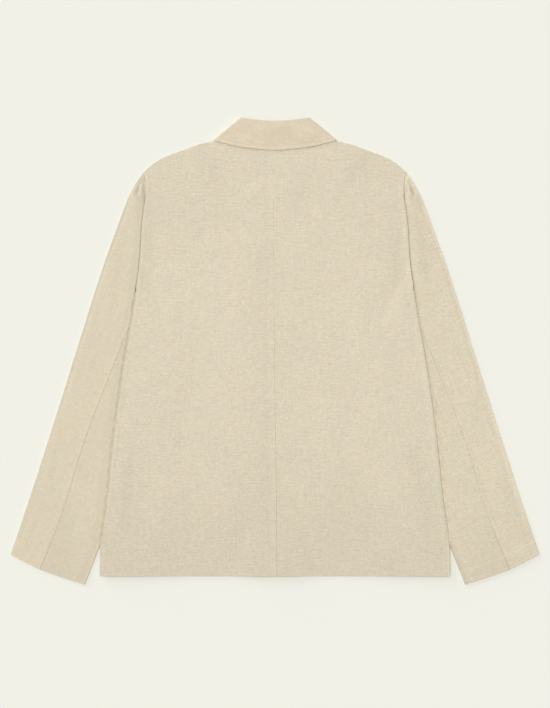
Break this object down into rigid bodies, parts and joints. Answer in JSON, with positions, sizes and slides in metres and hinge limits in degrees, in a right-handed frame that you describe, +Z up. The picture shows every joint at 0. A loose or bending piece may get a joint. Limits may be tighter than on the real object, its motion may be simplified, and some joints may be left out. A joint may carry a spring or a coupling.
{
  "type": "overshirt laid flat",
  "caption": "Linen overshirt laid flat with its back up: centre back seam, turned-down collar, two-piece sleeves and plain hems.",
  "frame": {"origin": "on the surface it lies on, under the middle of the laid-out garment", "axes": "+X towards the wearer's right sleeve, +Y from hem to collar, +Z up out of the back"},
  "size_m": [0.8454, 0.7471, 0.0067],
  "materials": {
    "linen": "plain-woven beige linen with slubs, dry and matt",
    "button": "brown horn-like buttons, softly polished"
  },
  "bodies": {
    "root": {"back_left": "linen", "back_right": "linen", "front_left": "linen", "front_right": "linen", "top_sleeve_left": "linen", "top_sleeve_right": "linen", "under_sleeve_left": "linen", "under_sleeve_right": "linen", "collar_leaf": "linen", "collar_stand": "linen", "button_1": "button", "button_2": "button", "button_3": "button", "button_4": "button", "button_5": "button"}
  },
  "joints": []
}
